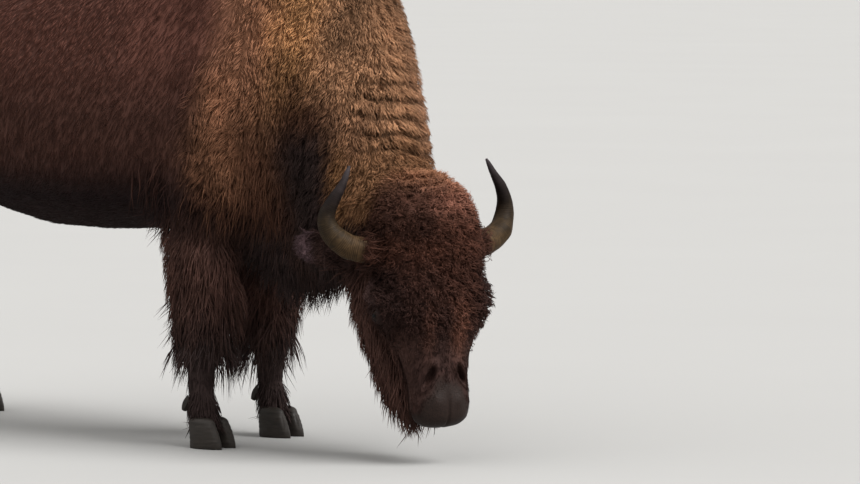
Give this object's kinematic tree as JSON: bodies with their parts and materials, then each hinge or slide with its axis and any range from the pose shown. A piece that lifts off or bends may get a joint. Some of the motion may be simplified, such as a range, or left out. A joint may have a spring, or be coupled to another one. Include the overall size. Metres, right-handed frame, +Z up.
{
  "type": "american bison",
  "caption": "Life-size american bison cow standing and grazing, head lowered and turned a little to its right, woolly hump and forequarters, short-haired hind body.",
  "frame": {"origin": "on the floor under the middle of the animal's box, soles at z = 0", "axes": "+X towards the head, +Y to the animal's left, +Z up"},
  "size_m": [1.9798, 0.624, 1.52],
  "materials": {
    "wool": "tan crimped wool",
    "flank": "short dark reddish-brown hair",
    "crown": "tight dark reddish curls",
    "face": "short dark hair",
    "shade": "long black-brown hair",
    "horn": "grey-brown horn with a dark tip",
    "hoof": "dark hoof horn",
    "eye": "dark wet eye"
  },
  "bodies": {
    "root": {"forequarters": "wool", "neck": "wool", "barrel": "flank", "hindquarters": "flank", "tail": "flank", "hindleg_left": "flank", "hindleg_right": "flank", "head": "crown", "jaw": "face", "beard": "shade", "ear_left": "shade", "ear_right": "shade", "tail_tuft": "shade", "foreleg_left": "shade", "foreleg_right": "shade", "cannon_fore_left": "shade", "cannon_fore_right": "shade", "cannon_hind_left": "shade", "cannon_hind_right": "shade", "horn_left": "horn", "eye_left": "eye", "hoof_fore_left_inner": "hoof", "dewclaw_fore_left_inner": "hoof", "hoof_fore_left_outer": "hoof", "dewclaw_fore_left_outer": "hoof", "hoof_hind_left_inner": "hoof", "dewclaw_hind_left_inner": "hoof", "hoof_hind_left_outer": "hoof", "dewclaw_hind_left_outer": "hoof", "horn_right": "horn", "eye_right": "eye", "hoof_fore_right_inner": "hoof", "dewclaw_fore_right_inner": "hoof", "hoof_fore_right_outer": "hoof", "dewclaw_fore_right_outer": "hoof", "hoof_hind_right_inner": "hoof", "dewclaw_hind_right_inner": "hoof", "hoof_hind_right_outer": "hoof", "dewclaw_hind_right_outer": "hoof"}
  },
  "joints": []
}
